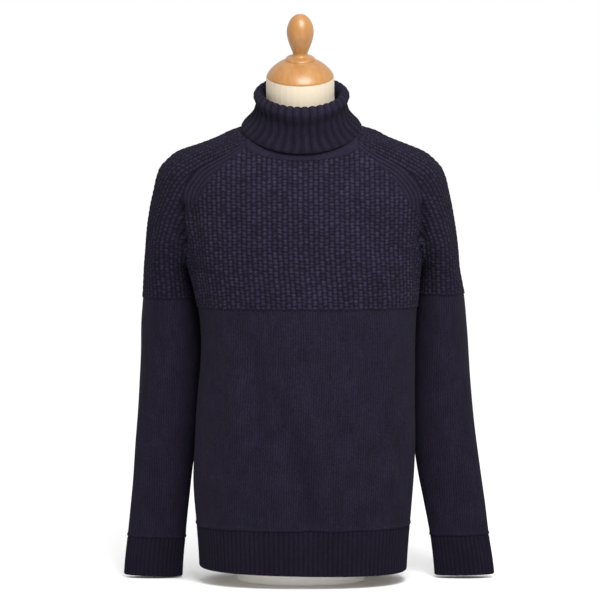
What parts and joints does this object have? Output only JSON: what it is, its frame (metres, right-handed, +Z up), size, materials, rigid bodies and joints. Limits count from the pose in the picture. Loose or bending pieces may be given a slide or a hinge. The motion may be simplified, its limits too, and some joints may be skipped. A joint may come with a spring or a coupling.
{
  "type": "turtleneck sweater on a dress form",
  "caption": "Knitted turtleneck sweater with saddle shoulders, long sleeves and ribbed collar, cuffs and hem, worn by a limbless dress form with a turned cap.",
  "frame": {"origin": "centre of the dress form's flat underside", "axes": "+Z up along the garment, the front faces -Y, +X to the right as the front is seen"},
  "size_m": [0.5849, 0.23, 0.8863],
  "materials": {
    "navy_knit": "soft knitted wool, matt",
    "cream_linen": "smooth woven cover, matt",
    "turned_wood": "turned and satin varnished",
    "pale_foot": "plain matt"
  },
  "bodies": {
    "root": {"front": "navy_knit", "back": "navy_knit", "sleeve_left": "navy_knit", "sleeve_right": "navy_knit", "neck_band": "navy_knit", "collar": "navy_knit", "hem_rib": "navy_knit", "cuff_left": "navy_knit", "cuff_right": "navy_knit", "form_body": "cream_linen", "form_cap": "turned_wood", "form_foot": "pale_foot"}
  },
  "joints": []
}
